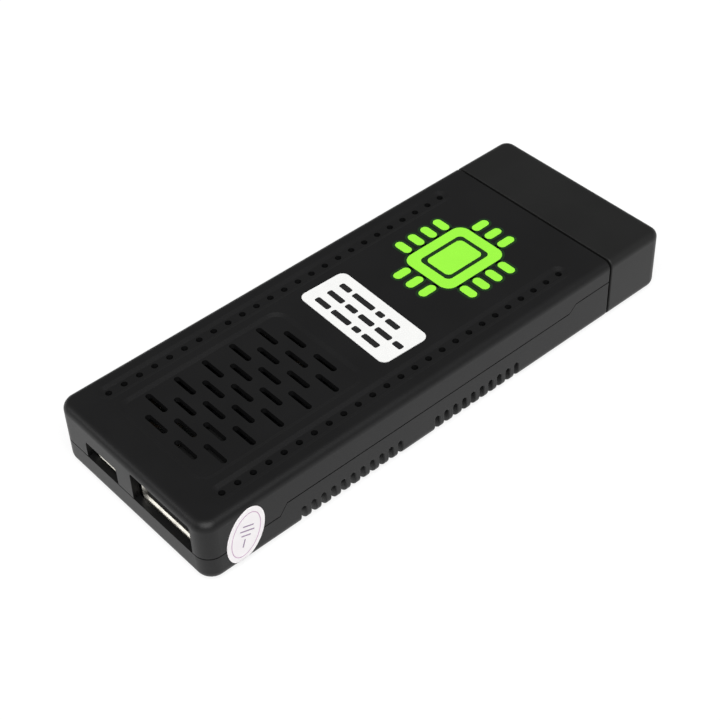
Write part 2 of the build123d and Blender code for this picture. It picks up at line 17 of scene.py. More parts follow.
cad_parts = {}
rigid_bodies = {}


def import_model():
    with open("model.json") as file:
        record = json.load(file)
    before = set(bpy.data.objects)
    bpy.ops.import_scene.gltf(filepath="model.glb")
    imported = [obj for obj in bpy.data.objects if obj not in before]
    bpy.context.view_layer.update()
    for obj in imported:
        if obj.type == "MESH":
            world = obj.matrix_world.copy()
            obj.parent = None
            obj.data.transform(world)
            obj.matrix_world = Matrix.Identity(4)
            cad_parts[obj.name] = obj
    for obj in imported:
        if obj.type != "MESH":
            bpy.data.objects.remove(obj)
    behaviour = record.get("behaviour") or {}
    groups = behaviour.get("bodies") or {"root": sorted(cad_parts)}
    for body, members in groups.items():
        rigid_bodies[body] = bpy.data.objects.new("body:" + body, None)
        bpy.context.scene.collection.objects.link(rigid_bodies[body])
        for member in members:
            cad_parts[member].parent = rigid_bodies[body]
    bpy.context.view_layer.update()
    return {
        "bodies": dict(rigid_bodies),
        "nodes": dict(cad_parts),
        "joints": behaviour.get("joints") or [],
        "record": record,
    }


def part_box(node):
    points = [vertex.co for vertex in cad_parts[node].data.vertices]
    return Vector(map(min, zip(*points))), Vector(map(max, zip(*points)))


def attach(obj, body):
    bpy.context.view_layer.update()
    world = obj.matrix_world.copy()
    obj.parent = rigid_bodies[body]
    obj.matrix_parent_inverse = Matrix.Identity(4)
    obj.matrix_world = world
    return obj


log = logging.getLogger("stick")

MM = 0.001
# The label's own thickness, in millimetres.
STICKER_THICKNESS = 0.1
# A noise's middle, which is taken off so that it moves a value as much down as up.
MIDDLE = 0.5
# Least part of a direction along an axis that counts as lying along it.
ALONG = 0.9

Colour = tuple[float, float, float]
Span = tuple[float, float]


def linear(red: int, green: int, blue: int) -> Colour:
    """Turn a screen colour into the linear values that shaders take, by the sRGB curve.

    Args:
        red: Screen value of red, 0 to 255.
        green: Screen value of green, 0 to 255.
        blue: Screen value of blue, 0 to 255.

    Returns:
        The three linear values, 0 to 1.
    """
    def one(value: int) -> float:
        """Linear value of one screen value."""
        share = value / 255
        return share / 12.92 if share <= 0.04045 else ((share + 0.055) / 1.055) ** 2.4

    return one(red), one(green), one(blue)


def scaled(colour: Colour, share: float) -> Colour:
    """A colour made lighter or darker."""
    return tuple(share * part for part in colour)


# Shader writing


class Value:
    """A shader socket that takes part in Python sums."""

    def __init__(self, shader: Shader, socket: bpy.types.NodeSocket) -> None:
        """Keep the socket and the shader that it belongs to."""
        self.shader = shader
        self.socket = socket

    def _sum(self, operation: str, first: Value | float, second: Value | float) -> Value:
        """Add one Math node for an operation on two values."""
        values = {0: first, 1: second}
        return self.shader.node("ShaderNodeMath", {"operation": operation}, values)

    def __add__(self, other: Any) -> Value:
        """This plus other."""
        return self._sum("ADD", self, other)

    __radd__ = __add__

    def __sub__(self, other: Any) -> Value:
        """This less other."""
        return self._sum("SUBTRACT", self, other)

    def __rsub__(self, other: Any) -> Value:
        """Other less this."""
        return self._sum("SUBTRACT", other, self)

    def __mul__(self, other: Any) -> Value:
        """This times other."""
        return self._sum("MULTIPLY", self, other)

    __rmul__ = __mul__

    def __truediv__(self, other: Any) -> Value:
        """This over other."""
        return self._sum("DIVIDE", self, other)

    def fade(self, low: float, high: float) -> Value:
        """A smooth step from 0 at low to 1 at high."""
        settings = {"interpolation_type": "SMOOTHSTEP"}
        return self.shader.node("ShaderNodeMapRange", settings, {0: self, 1: low, 2: high})


class Shader:
    """One material and the calls that write its nodes."""

    EDGE_SAMPLES: ClassVar[int] = 4
    EDGE_FADE: ClassVar[Span] = (0.02, 0.3)

    def __init__(self, name: str) -> None:
        """Start an empty material with its output and main shader.

        Args:
            name: The material's name.
        """
        self.material = bpy.data.materials.new(name)
        self.material.use_nodes = True
        self.tree = self.material.node_tree
        self.tree.nodes.clear()
        self.output = self.tree.nodes.new("ShaderNodeOutputMaterial")
        self.surface = self.tree.nodes.new("ShaderNodeBsdfPrincipled")
        self.tree.links.new(self.surface.outputs[0], self.output.inputs["Surface"])

    def put(self, socket: bpy.types.NodeSocket, value: Any) -> None:
        """Set a socket to a plain value, or link a value into it.

        Args:
            socket: The input socket.
            value: A number, a colour, a vector or a Value.
        """
        if isinstance(value, Value):
            self.tree.links.new(value.socket, socket)
        elif isinstance(value, tuple) and socket.type == "RGBA":
            socket.default_value = (*value, 1.0)
        else:
            socket.default_value = value

    def node(self, kind: str, settings: dict[str, Any] | None = None,
             values: dict[Any, Any] | None = None, output: Any = 0) -> Value:
        """Add a node of any type.

        Args:
            kind: The node's type name.
            settings: The node's own settings, which are set first.
            values: Values or links for its sockets, by name or number.
            output: Name or number of the socket to hand back.

        Returns:
            The chosen output socket as a value.
        """
        made = self.tree.nodes.new(kind)
        for key, value in (settings or {}).items():
            setattr(made, key, value)
        for key, value in (values or {}).items():
            self.put(made.inputs[key], value)
        return Value(self, made.outputs[output])

    def place(self, stretch: tuple[float, float, float] = (1.0, 1.0, 1.0)) -> Value:
        """Object coordinates in millimetres.

        Args:
            stretch: How often a pattern repeats along each axis, against its plain size.

        Returns:
            The coordinates.
        """
        coordinates = self.node("ShaderNodeTexCoord", output="Object")
        values = {"Vector": coordinates, "Scale": tuple(part / MM for part in stretch)}
        return self.node("ShaderNodeMapping", values=values)

    def noise(self, where: Value, scale: float, detail: float = 2.0,
              roughness: float = 0.5) -> Value:
        """Cloudy pattern from 0 to 1."""
        values = {"Vector": where, "Scale": scale, "Detail": detail, "Roughness": roughness}
        return self.node("ShaderNodeTexNoise", values=values)

    def part(self, where: Value, name: str) -> Value:
        """One coordinate of a place."""
        return self.node("ShaderNodeSeparateXYZ", values={0: where}, output=name)

    def mix(self, factor: Value | float, first: Value | Colour,
            second: Value | Colour) -> Value:
        """Blend of two colours."""
        values = {0: factor, 6: first, 7: second}
        return self.node("ShaderNodeMix", {"data_type": "RGBA"}, values, 2)

    def bump(self, height: Value, depth: float) -> Value:
        """Surface normal from a height, with the depth in millimetres."""
        return self.node("ShaderNodeBump", values={"Height": height, "Distance": depth * MM})

    def worn_edges(self, radius: float) -> Value:
        """Find sharp edges.

        Args:
            radius: How far from an edge the wear reaches, in millimetres.

        Returns:
            1 along sharp edges and 0 on flat ground.
        """
        settings = {"samples": self.EDGE_SAMPLES}
        rounded = self.node("ShaderNodeBevel", settings, {"Radius": radius * MM})
        true = self.node("ShaderNodeNewGeometry", output="True Normal")
        settings = {"operation": "DOT_PRODUCT"}
        same = self.node("ShaderNodeVectorMath", settings, {0: rounded, 1: true}, "Value")
        return (1 - same).fade(*self.EDGE_FADE)

    def finish(self, **values: Any) -> bpy.types.Material:
        """Set the main shader's sockets.

        Args:
            **values: Values or links by socket name, with _ for a space.

        Returns:
            The finished material.
        """
        for key, value in values.items():
            self.put(self.surface.inputs[key.replace("_", " ")], value)
        return self.material


# Finishes


@dataclass(frozen=True)
class MouldedPlastic:
    """Black moulded plastic with a fine spark-eroded grain and lightly rubbed edges."""

    name: str
    colour: Colour
    rubbed: Colour
    roughness: float = 0.42
    gloss: float = 0.25
    cloud_scale: float = 0.11
    cloud_fade: Span = (0.3, 0.7)
    cloud_lift: float = 1.18
    grain_scale: float = 7.0
    grain_roughness: float = 0.6
    grain_depth: float = 0.012
    edge_radius: float = 0.22
    wear: float = 0.5
    least_wear: float = 0.35
    rough_by_cloud: float = 0.09
    rough_by_grain: float = 0.1

    def material(self) -> bpy.types.Material:
        """Write the material's nodes.

        Returns:
            The finished material.
        """
        shader = Shader(self.name)
        where = shader.place()
        cloud = shader.noise(where, self.cloud_scale, detail=3.0)
        grain = shader.noise(where, self.grain_scale, detail=3.0,
                             roughness=self.grain_roughness)
        edges = shader.worn_edges(self.edge_radius)
        shade = shader.mix(cloud.fade(*self.cloud_fade), self.colour,
                           scaled(self.colour, self.cloud_lift))
        patchy = self.least_wear + (1 - self.least_wear) * cloud
        shade = shader.mix(edges * patchy * self.wear, shade, self.rubbed)
        rough = (self.roughness + self.rough_by_cloud * (cloud - MIDDLE)
                 + self.rough_by_grain * (grain - MIDDLE))
        return shader.finish(Base_Color=shade, Roughness=rough, Specular_IOR_Level=self.gloss,
                             Normal=shader.bump(grain, self.grain_depth))


@dataclass(frozen=True)
class PlatedSheet:
    """Stamped and plated sheet metal with fine rolling lines."""

    name: str
    colour: Colour
    roughness: float = 0.24
    line_scale: float = 9.0
    line_stretch: tuple[float, float, float] = (0.15, 2.0, 2.0)
    line_depth: float = 0.0012
    stain_scale: float = 0.6
    stain_fade: Span = (0.45, 0.8)
    stain_shade: float = 0.72
    rough_by_line: float = 0.08
    rough_by_stain: float = 0.1

    def material(self) -> bpy.types.Material:
        """Write the material's nodes.

        Returns:
            The finished material.
        """
        shader = Shader(self.name)
        lines = shader.noise(shader.place(self.line_stretch), self.line_scale)
        stain = shader.noise(shader.place(), self.stain_scale, detail=3.0)
        shade = shader.mix(stain.fade(*self.stain_fade), self.colour,
                           scaled(self.colour, self.stain_shade))
        rough = self.roughness + self.rough_by_line * lines + self.rough_by_stain * stain
        return shader.finish(Base_Color=shade, Metallic=1.0, Roughness=rough,
                             Normal=shader.bump(lines, self.line_depth))


@dataclass(frozen=True)
class DullMoulding:
    """Plain dull moulding: chip epoxy, ferrite, ceramic, rubber or switch plastic."""

    name: str
    colour: Colour
    roughness: float = 0.6
    speckle: float = 0.25
    cloud_scale: float = 0.35
    grain_scale: float = 4.0
    grain_roughness: float = 0.65
    grain_depth: float = 0.01
    rough_by_grain: float = 0.12

    def material(self) -> bpy.types.Material:
        """Write the material's nodes.

        Returns:
            The finished material.
        """
        shader = Shader(self.name)
        where = shader.place()
        grain = shader.noise(where, self.grain_scale, detail=4.0,
                             roughness=self.grain_roughness)
        cloud = shader.noise(where, self.cloud_scale)
        shade = shader.mix((grain + cloud) / 2, scaled(self.colour, 1 - self.speckle),
                           self.colour)
        rough = self.roughness + self.rough_by_grain * (grain - MIDDLE)
        return shader.finish(Base_Color=shade, Roughness=rough,
                             Normal=shader.bump(grain, self.grain_depth))


@dataclass(frozen=True)
class SolderMask:
    """Coated circuit board with copper runs under the coat."""

    name: str
    colour: Colour
    run_colour: Colour
    run_pitch: float = 0.9
    run_fade: Span = (0.22, 0.28)
    run_depth: float = 0.03
    bend_scale: float = 0.16
    bend: float = 9.0
    zone_scale: float = 0.3
    zone_fade: Span = (0.42, 0.48)
    roughness: float = 0.3
    rough_by_bend: float = 0.1
    coat: float = 0.4

    def material(self) -> bpy.types.Material:
        """Write the material's nodes.

        Returns:
            The finished material.
        """
        shader = Shader(self.name)
        where = shader.place()
        bent = shader.noise(where, self.bend_scale, detail=1.0)
        across = shader.part(where, "Y") / self.run_pitch + self.bend * bent
        # A triangle wave that climbs to a half and back once in each pitch.
        wave = shader.node("ShaderNodeMath", {"operation": "PINGPONG"}, {0: across, 1: 0.5})
        zone = shader.noise(where, self.zone_scale, detail=0.0).fade(*self.zone_fade)
        runs = wave.fade(*self.run_fade) * zone
        return shader.finish(Base_Color=shader.mix(runs, self.colour, self.run_colour),
                             Roughness=self.roughness + self.rough_by_bend * bent,
                             Coat_Weight=self.coat, Normal=shader.bump(runs, self.run_depth))


@dataclass(frozen=True)
class GoldPlate:
    """Gold plating on stamped contacts."""

    name: str
    colour: Colour
    roughness: float = 0.18
    rub_scale: float = 5.0
    rub_stretch: tuple[float, float, float] = (0.3, 3.0, 3.0)
    rub_fade: Span = (0.4, 0.75)
    rub_shade: float = 0.8
    rub_depth: float = 0.004
    rough_by_rub: float = 0.2

    def material(self) -> bpy.types.Material:
        """Write the material's nodes.

        Returns:
            The finished material.
        """
        shader = Shader(self.name)
        rub = shader.noise(shader.place(self.rub_stretch), self.rub_scale)
        shade = shader.mix(rub.fade(*self.rub_fade), self.colour,
                           scaled(self.colour, self.rub_shade))
        return shader.finish(Base_Color=shade, Metallic=1.0,
                             Roughness=self.roughness + self.rough_by_rub * rub,
                             Normal=shader.bump(rub, self.rub_depth))


@dataclass(frozen=True)
class StickerPaper:
    """Smooth printed paper with faint fibres."""

    name: str
    colour: Colour
    tint: Colour
    roughness: float = 0.42
    cloud_scale: float = 0.5
    cloud_fade: Span = (0.35, 0.75)
    tint_share: float = 0.6
    fibre_scale: float = 3.5
    fibre_stretch: tuple[float, float, float] = (1.0, 0.35, 1.0)
    fibre_roughness: float = 0.7
    fibre_depth: float = 0.006
    rough_by_fibre: float = 0.12

    def material(self) -> bpy.types.Material:
        """Write the material's nodes.

        Returns:
            The finished material.
        """
        shader = Shader(self.name)
        fibre = shader.noise(shader.place(self.fibre_stretch), self.fibre_scale, detail=4.0,
                             roughness=self.fibre_roughness)
        cloud = shader.noise(shader.place(), self.cloud_scale)
        shade = shader.mix(cloud.fade(*self.cloud_fade) * self.tint_share, self.colour,
                           self.tint)
        rough = self.roughness + self.rough_by_fibre * (fibre - MIDDLE)
        return shader.finish(Base_Color=shade, Roughness=rough,
                             Normal=shader.bump(fibre, self.fibre_depth))


@dataclass(frozen=True)
class PrintInk:
    """Screen-printed ink: even colour with a slight orange-peel surface."""

    name: str
    colour: Colour
    uneven: float = 0.08
    roughness: float = 0.4
    cloud_scale: float = 0.25
    peel_scale: float = 2.2
    peel_depth: float = 0.008
    rough_by_peel: float = 0.1

    def material(self) -> bpy.types.Material:
        """Write the material's nodes.

        Returns:
            The finished material.
        """
        shader = Shader(self.name)
        where = shader.place()
        peel = shader.noise(where, self.peel_scale)
        cloud = shader.noise(where, self.cloud_scale)
        shade = shader.mix(cloud, scaled(self.colour, 1 - self.uneven), self.colour)
        rough = self.roughness + self.rough_by_peel * (peel - MIDDLE)
        return shader.finish(Base_Color=shade, Roughness=rough,
                             Normal=shader.bump(peel, self.peel_depth))


class Finish(Enum):
    """Every finish that the stick wears."""

    CASE = MouldedPlastic("case_plastic_look", (0.0055, 0.0055, 0.0057),
                          (0.0105, 0.0105, 0.0105))
    CAP = MouldedPlastic("cap_plastic_look", (0.0095, 0.0096, 0.0094), (0.016, 0.016, 0.016))
    TAPE = MouldedPlastic("tape_film_look", (0.008, 0.008, 0.008), (0.012, 0.012, 0.012),
                          roughness=0.35)
    SHEET = PlatedSheet("socket_metal_look", (0.78, 0.755, 0.68))
    TIN = PlatedSheet("screw_steel_look", (0.55, 0.55, 0.56), roughness=0.3)
    # The heat spreader's near-black colour is painted shade: it keeps the grille slots above
    # it dark.
    ALUMINIUM = PlatedSheet("spreader_aluminium_look", (0.025, 0.025, 0.028),
                            roughness=0.5)
    CRYSTAL_LID = PlatedSheet("crystal_lid_look", (0.06, 0.06, 0.063), roughness=0.5)
    TONGUE = DullMoulding("socket_plastic_look", (0.012, 0.012, 0.012), roughness=0.5)
    EPOXY = DullMoulding("chip_epoxy_look", (0.028, 0.028, 0.03), roughness=0.62)
    FERRITE = DullMoulding("ferrite_look", (0.06, 0.06, 0.065), roughness=0.7)
    CERAMIC = DullMoulding("ceramic_look", (0.72, 0.69, 0.6), roughness=0.35, speckle=0.1)
    BROWN_CERAMIC = DullMoulding("capacitor_ceramic_look", (0.2, 0.135, 0.08),
                                 roughness=0.5, speckle=0.2)
    PAD = DullMoulding("pad_rubber_look", (0.26, 0.34, 0.42), roughness=0.85, speckle=0.15)
    LENS = DullMoulding("led_resin_look", (0.82, 0.83, 0.76), roughness=0.2, speckle=0.05)
    SWITCH = DullMoulding("switch_plastic_look", (0.045, 0.045, 0.045), roughness=0.5)
    PLUNGER = DullMoulding("plunger_plastic_look", (0.66, 0.65, 0.61),
                           roughness=0.45, speckle=0.1)
    BOARD = SolderMask("board_look", (0.009, 0.011, 0.01), (0.028, 0.02, 0.012))
    MODULE = SolderMask("module_board_look", (0.012, 0.03, 0.14), (0.03, 0.07, 0.26))
    GOLD = GoldPlate("contact_gold_look", (0.83, 0.58, 0.2))
    LABEL = StickerPaper("label_paper_look", (0.87, 0.87, 0.855), (0.83, 0.835, 0.825))
    SEAL = StickerPaper("seal_paper_look", (0.97, 0.94, 0.95), (0.93, 0.88, 0.91))
    GREEN_INK = PrintInk("green_ink_look", linear(156, 245, 65))
    DARK_GREEN_INK = PrintInk("dark_green_ink_look", linear(8, 44, 6), uneven=0.2)
    BLACK_INK = PrintInk("black_ink_look", linear(24, 24, 24), uneven=0.3)
    PINK_INK = PrintInk("pink_ink_look", linear(206, 172, 200), uneven=0.1)
    GREY_INK = PrintInk("grey_ink_look", linear(150, 128, 158), uneven=0.1)

    def material(self) -> bpy.types.Material:
        """The finish's material, written once."""
        made = bpy.data.materials.get(self.value.name)
        return made or self.value.material()


# Modelling by operators


class Kind(Enum):
    """What is selected in edit mode: the select mode's name and the mesh's name for it."""

    EDGE = "edges"
    FACE = "faces"


def upright(edge: bmesh.types.BMEdge) -> bool:
    """Whether an edge stands nearly straight up."""
    return abs((edge.verts[0].co - edge.verts[1].co).normalized().z) > ALONG


def flat(face: bmesh.types.BMFace) -> bool:
    """Whether a face lies nearly flat."""
    return abs(face.normal.z) > ALONG


def pick(mesh: bmesh.types.BMesh, kind: Kind, test: Callable[[Any], bool]) -> None:
    """Select only the edges or faces that pass a test.

    Args:
        mesh: The mesh in edit mode.
        kind: Whether edges or faces are selected.
        test: Says whether an item is wanted.
    """
    for group in (mesh.verts, mesh.edges, mesh.faces):
        for item in group:
            item.select = False
    for item in getattr(mesh, kind.value):
        if test(item):
            item.select_set(True)
    mesh.select_flush_mode()


class Workbench:
    """One new piece, modelled with operators at its own place in the stick."""

    SMOOTH_ANGLE: ClassVar[float] = math.radians(35)

    def __init__(self, name: str) -> None:
        """Start with nothing selected."""
        self.name = name
        bpy.ops.object.select_all(action="DESELECT")

    def plate(self, middle: Vector, size: Vector, radius: float, turn: float = 0.0,
              segments: int = 8) -> bpy.types.Object:
        """Add a thin rounded plate that lies flat.

        Args:
            middle: The plate's middle, in metres.
            size: Its length, width and thickness, in metres.
            radius: Radius of its upright corners, in metres.
            turn: Turn about Z, in degrees.
            segments: Facets to a corner.

        Returns:
            The plate, in object mode.
        """
        bpy.ops.mesh.primitive_cube_add(size=1, location=middle, scale=size,
                                        rotation=(0, 0, math.radians(turn)))
        piece = bpy.context.object
        piece.name = piece.data.name = self.name
        bpy.ops.object.transform_apply(location=False, rotation=False, scale=True)
        self.edit(piece, Kind.EDGE, upright)
        bpy.ops.mesh.bevel(offset=radius, segments=segments, affect="EDGES")
        bpy.ops.object.mode_set(mode="OBJECT")
        return piece

    def edit(self, piece: bpy.types.Object, kind: Kind, test: Callable[[Any], bool]) -> None:
        """Go into edit mode with some of the piece selected.

        Args:
            piece: The piece to edit.
            kind: Whether edges or faces are selected.
            test: Says whether an item is wanted.
        """
        bpy.ops.object.select_all(action="DESELECT")
        bpy.context.view_layer.objects.active = piece
        piece.select_set(True)
        bpy.ops.object.mode_set(mode="EDIT")
        bpy.ops.mesh.select_mode(type=kind.name)
        mesh = bmesh.from_edit_mesh(piece.data)
        pick(mesh, kind, test)
        bmesh.update_edit_mesh(piece.data)

    def open_middle(self, piece: bpy.types.Object, width: float) -> None:
        """Turn a plate into a frame.

        Args:
            piece: The plate.
            width: The frame's width, in metres.
        """
        self.edit(piece, Kind.FACE, flat)
        bpy.ops.mesh.inset(thickness=width, use_individual=True)
        bpy.ops.mesh.bridge_edge_loops()
        bpy.ops.object.mode_set(mode="OBJECT")

    def cut(self, piece: bpy.types.Object, cutter: bpy.types.Object) -> None:
        """Cut one piece out of another and throw the cutter away.

        Args:
            piece: The piece that stays.
            cutter: The piece that is cut out of it.
        """
        hole = piece.modifiers.new("hole", "BOOLEAN")
        hole.operation, hole.object = "DIFFERENCE", cutter
        bpy.ops.object.select_all(action="DESELECT")
        bpy.context.view_layer.objects.active = piece
        bpy.ops.object.modifier_apply(modifier="hole")
        cutter.select_set(True)
        bpy.ops.object.delete()

    def join(self, pieces: Iterable[bpy.types.Object]) -> bpy.types.Object:
        """Make one piece of several.

        Args:
            pieces: The pieces, the first of which takes in the others.

        Returns:
            The whole, at the origin and unturned.
        """
        bpy.ops.object.select_all(action="DESELECT")
        pieces = list(pieces)
        for piece in pieces:
            piece.select_set(True)
        bpy.context.view_layer.objects.active = pieces[0]
        if len(pieces) > 1:
            bpy.ops.object.join()
        whole = bpy.context.object
        bpy.ops.object.transform_apply(location=True, rotation=True, scale=True)
        bpy.ops.object.shade_smooth_by_angle(angle=self.SMOOTH_ANGLE)
        whole.name = whole.data.name = self.name
        whole.select_set(False)
        return whole


def seat(piece: bpy.types.Object, body: str, finish: Finish) -> None:
    """Dress a new piece and make it ride on its body.

    Args:
        piece: The finished piece.
        body: Name of the body that carries it.
        finish: Its finish.
    """
    piece.data.materials.clear()
    piece.data.materials.append(finish.material())
    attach(piece, body)
    log.info("%s on %s: %d faces", piece.name, body, len(piece.data.polygons))


# Sub-assemblies


@dataclass
class Housing:
    """Case shells, cap and everything inside, as the CAD makes them."""

    finishes: dict[str, Finish] = field(default_factory=lambda: {
        "top_shell": Finish.CASE, "bottom_shell": Finish.CASE, "plug_cap": Finish.CAP,
        "label_sticker": Finish.LABEL, "seal_sticker": Finish.SEAL,
        "main_pcb": Finish.BOARD, "pcb_screws": Finish.TIN,
        "hdmi_plug_shell": Finish.SHEET, "hdmi_plug_insert": Finish.TONGUE,
        "hdmi_plug_contacts": Finish.GOLD,
        "usb_a_shell": Finish.SHEET, "usb_a_tape": Finish.TAPE,
        "usb_a_tongue": Finish.TONGUE, "usb_a_contacts": Finish.GOLD,
        "micro_usb_shell": Finish.SHEET, "micro_usb_tongue": Finish.TONGUE,
        "micro_usb_contacts": Finish.GOLD, "card_socket_shell": Finish.SHEET,
        "card_socket_base": Finish.TONGUE, "card_socket_contacts": Finish.GOLD,
        "processor": Finish.EPOXY, "thermal_pad": Finish.PAD,
        # The heat spreader wears painted shade, near-black so that the grille slots above it
        # read dark.
        "heat_spreader": Finish.ALUMINIUM, "memory_chips": Finish.EPOXY,
        "flash_chip": Finish.EPOXY, "wifi_module": Finish.MODULE,
        "wifi_shield_can": Finish.SHEET, "antenna": Finish.CERAMIC,
        "power_chip": Finish.EPOXY, "inductors": Finish.FERRITE,
        "capacitors": Finish.BROWN_CERAMIC, "crystal": Finish.CRYSTAL_LID,
        "status_led": Finish.LENS, "recovery_switch_body": Finish.SWITCH,
        "recovery_switch_plunger": Finish.PLUNGER,
    })

    def build(self, nodes: dict[str, bpy.types.Object]) -> None:
        """Dress every CAD node in its finish.

        Args:
            nodes: The frame's nodes by name.
        """
        for name, finish in self.finishes.items():
            piece = nodes[name]
            if not piece.material_slots:
                piece.data.materials.append(None)
            for slot in piece.material_slots:
                slot.material = finish.material()
            log.info("%s wears %s", name, finish.name.lower())


@dataclass
class ChipEmblem:
    """Printed emblem on the top face: a microchip with rounded legs, in millimetres."""

    middle: Span = (17.8, 0.5)
    core: Span = (13.0, 10.6)
    core_radius: float = 1.9
    ring_width: float = 1.9
    ring_gap: float = 0.75
    inner_radius: float = 0.9
    leg_length: float = 3.2
    leg_width: float = 1.55
    leg_gap: float = 0.55
    leg_end_flat: float = 0.01
    long_side_legs: int = 4
    short_side_legs: int = 3
    outline: float = 0.45
    ink: float = 0.02
    cutter_height: float = 0.08

    def shapes(self) -> list[tuple[Vector, Span, float]]:
        """List the core and the legs.

        Returns:
            The middle, the size and the corner radius of each.
        """
        length, width = self.core
        made = [(Vector((*self.middle, 0)), self.core, self.core_radius)]
        reach = self.leg_gap + self.leg_length / 2
        radius = self.leg_width / 2 - self.leg_end_flat
        for count, along, across, flip in ((self.long_side_legs, length, width, False),
                                           (self.short_side_legs, width, length, True)):
            pitch = (along - self.core_radius) / count
            size = (self.leg_length, self.leg_width) if flip else (self.leg_width,
                                                                   self.leg_length)
            for number in range(count):
                shift = (number - (count - 1) / 2) * pitch
                for side in (-1, 1):
                    out = side * (across / 2 + reach)
                    spot = (out, shift) if flip else (shift, out)
                    middle = Vector((self.middle[0] + spot[0], self.middle[1] + spot[1], 0))
                    made.append((middle, size, radius))
        return made

    def core_plate(self, bench: Workbench, base: float, inset: float,
                   height: float) -> bpy.types.Object:
        """Add a plate inside the core.

        Args:
            bench: The layer's workbench.
            base: Height of the layer's underside, in millimetres.
            inset: How far the plate stands in from the core's outline, in millimetres.
            height: The plate's height, in millimetres.

        Returns:
            The plate.
        """
        place = Vector((*self.middle, base + self.ink / 2)) * MM
        extent = Vector((self.core[0] - 2 * inset, self.core[1] - 2 * inset, height)) * MM
        return bench.plate(place, extent, self.inner_radius * MM)

    def layer(self, name: str, base: float, grow: float) -> bpy.types.Object:
        """Make one flat layer of the print, with the ring open where it doesn't grow.

        Args:
            name: The layer's piece name.
            base: Height of its underside, in millimetres.
            grow: How far it stands out past the emblem's shapes, in millimetres.

        Returns:
            The finished layer.
        """
        bench = Workbench(name)
        plates = []
        for middle, size, radius in self.shapes():
            place = Vector((middle.x, middle.y, base + self.ink / 2)) * MM
            extent = Vector((size[0] + 2 * grow, size[1] + 2 * grow, self.ink)) * MM
            plates.append(bench.plate(place, extent, (radius + grow) * MM))
        if not grow:
            hole = self.core_plate(bench, base, self.ring_width, self.cutter_height)
            plates.append(self.core_plate(bench, base, self.ring_width + self.ring_gap,
                                          self.ink))
            bench.cut(plates[0], hole)
        return bench.join(plates)

    def build(self, top: float) -> None:
        """Print the dark outline, then the green shapes on it.

        Args:
            top: Height of the case's top face, in millimetres.
        """
        outline = self.layer("emblem_outline", top, self.outline)
        seat(outline, "stick", Finish.DARK_GREEN_INK)
        shapes = self.layer("emblem_print", top + self.ink, 0)
        seat(shapes, "stick", Finish.GREEN_INK)


@dataclass
class LabelPrint:
    """Three rows of plain bars on the white label, in millimetres."""

    middle: Span = (-2.15, 0.0)
    turn: float = -1.9
    row_places: tuple[float, float, float] = (2.24, -0.21, -2.66)
    row_height: float = 1.05
    bars: tuple[tuple[float, ...], ...] = (
        (2.4, 4.8, 1.6, 2.8), (3.6, 2.4, 3.2, 3.4, 1.9), (3.2, 4.2, 1.6, 3.6))
    bar_radius: float = 0.3
    bar_facets: int = 3
    gap: float = 0.75
    start: float = 8.05
    ink: float = 0.015

    def build(self, top: float) -> None:
        """Print the rows, each a run of rounded bars along Y.

        Args:
            top: Height of the label's face, in millimetres.
        """
        bench = Workbench("label_print")
        turned = Matrix.Rotation(math.radians(self.turn), 4, "Z")
        plates = []
        for x, row in zip(self.row_places, self.bars):
            y = self.start
            for length in row:
                spot = turned @ Vector((x, y - length / 2, 0))
                place = Vector((self.middle[0] + spot.x, self.middle[1] + spot.y,
                                top + self.ink / 2)) * MM
                extent = Vector((self.row_height, length, self.ink)) * MM
                plates.append(bench.plate(place, extent, self.bar_radius * MM, self.turn,
                                          self.bar_facets))
                y -= length + self.gap
        seat(bench.join(plates), "stick", Finish.BLACK_INK)


@dataclass
class SealPrint:
    """Faint ring and plain marks on the oval seal on the near side, in millimetres."""

    middle: Span = (-39.86, 5.76)
    turn: float = -20.0
    ring: Span = (2.5, 4.05)
    ring_width: float = 0.14
    ring_facets: int = 72
    # Each mark's place across and up the seal, then its width and height.
    marks: tuple[tuple[float, float, float, float], ...] = (
        (0.0, 1.6, 2.0, 0.22), (0.0, 0.75, 2.6, 0.22), (0.0, -0.1, 1.7, 0.22),
        (0.0, -1.5, 0.22, 1.5))
    mark_radius: float = 0.09
    mark_facets: int = 3
    ink: float = 0.015

    def build(self, side: float) -> None:
        """Print the ring and the marks on the seal's outer face.

        Args:
            side: The seal's outer face across Y, in millimetres.
        """
        bench = Workbench("seal_ring")
        bpy.ops.mesh.primitive_cylinder_add(vertices=self.ring_facets, radius=1, depth=1,
                                            location=(0, 0, 0))
        ring = bpy.context.object
        ring.scale = Vector((*self.ring, self.ink)) * MM
        bpy.ops.object.transform_apply(location=False, rotation=False, scale=True)
        bench.open_middle(ring, self.ring_width * MM)
        self.stand(ring, (0.0, 0.0), side)
        seat(bench.join([ring]), "stick", Finish.PINK_INK)

        bench = Workbench("seal_marks")
        plates = []
        for across, up, width, height in self.marks:
            extent = Vector((width, height, self.ink)) * MM
            plate = bench.plate(Vector((0, 0, 0)), extent, self.mark_radius * MM,
                                segments=self.mark_facets)
            self.stand(plate, (across, up), side)
            plates.append(plate)
        seat(bench.join(plates), "stick", Finish.GREY_INK)

    def stand(self, piece: bpy.types.Object, spot: Span, side: float) -> None:
        """Stand a flat piece upright on the seal.

        Args:
            piece: The piece, lying at the origin.
            spot: Its place on the seal before the seal's lean, in millimetres.
            side: The seal's outer face across Y, in millimetres.
        """
        lean = Matrix.Rotation(math.radians(-self.turn), 4, "Y")
        place = Vector((self.middle[0], side - self.ink / 2, self.middle[1])) * MM
        raised = Matrix.Rotation(math.radians(90), 4, "X")
        shift = Matrix.Translation(Vector((spot[0], 0, spot[1])) * MM)
        piece.matrix_world = Matrix.Translation(place) @ lean @ shift @ raised


# Studio


def face_stick(lamp: bpy.types.Object, place: tuple[float, float, float]) -> None:
    """Turn a lamp at a place towards the stick's middle."""
    lamp.rotation_mode = "QUATERNION"
    lamp.rotation_quaternion = (-Vector(place)).to_track_quat("-Z", "Y")


